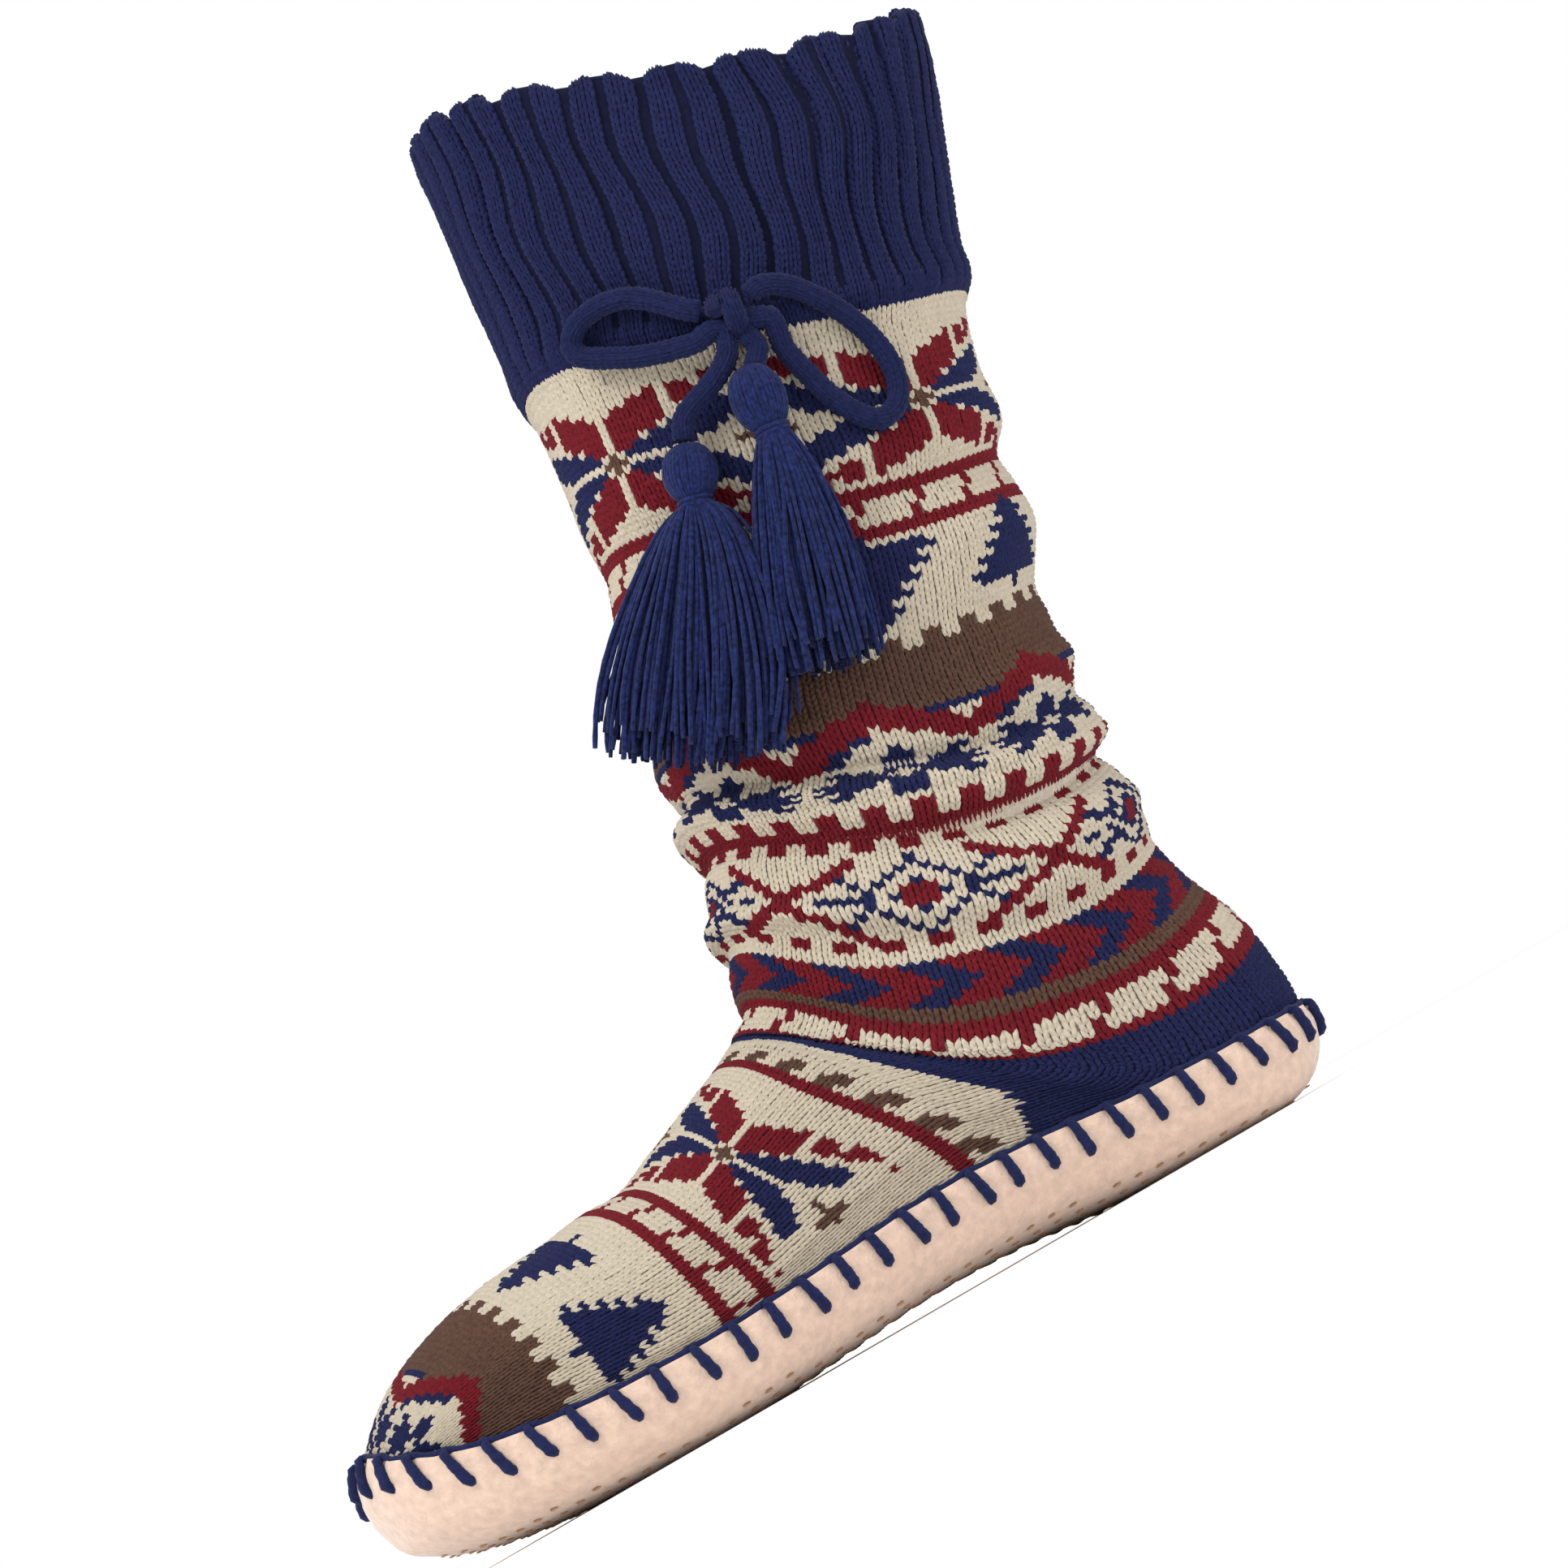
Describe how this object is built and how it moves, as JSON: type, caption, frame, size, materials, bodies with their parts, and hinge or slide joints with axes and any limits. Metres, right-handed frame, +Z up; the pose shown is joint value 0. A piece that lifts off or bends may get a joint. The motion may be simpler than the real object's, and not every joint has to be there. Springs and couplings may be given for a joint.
{
  "type": "knit slipper boot",
  "caption": "Tall knitted slipper boot for the left foot, with a folded ribbed cuff, slouched patterned leg, stitched-on suede sole and a drawstring bow with tassels.",
  "frame": {"origin": "on the floor, at the middle of the flat spot under the heel", "axes": "+X towards the toe, +Y towards the outer side of the left foot, +Z up the leg"},
  "size_m": [0.3075, 0.1104, 0.3121],
  "materials": {
    "suede": "napped suede",
    "lining": "brushed lining",
    "knit": "knitted wool with a coloured pattern",
    "cord": "knitted cord",
    "tassel": "loose yarn"
  },
  "bodies": {
    "root": {"sole": "suede", "insole": "lining", "upper": "knit", "shaft": "knit", "cuff": "knit", "knot": "cord", "loop_left": "cord", "loop_right": "cord", "end_left": "cord", "tassel_left": "tassel", "tassel_right": "tassel"}
  },
  "joints": []
}
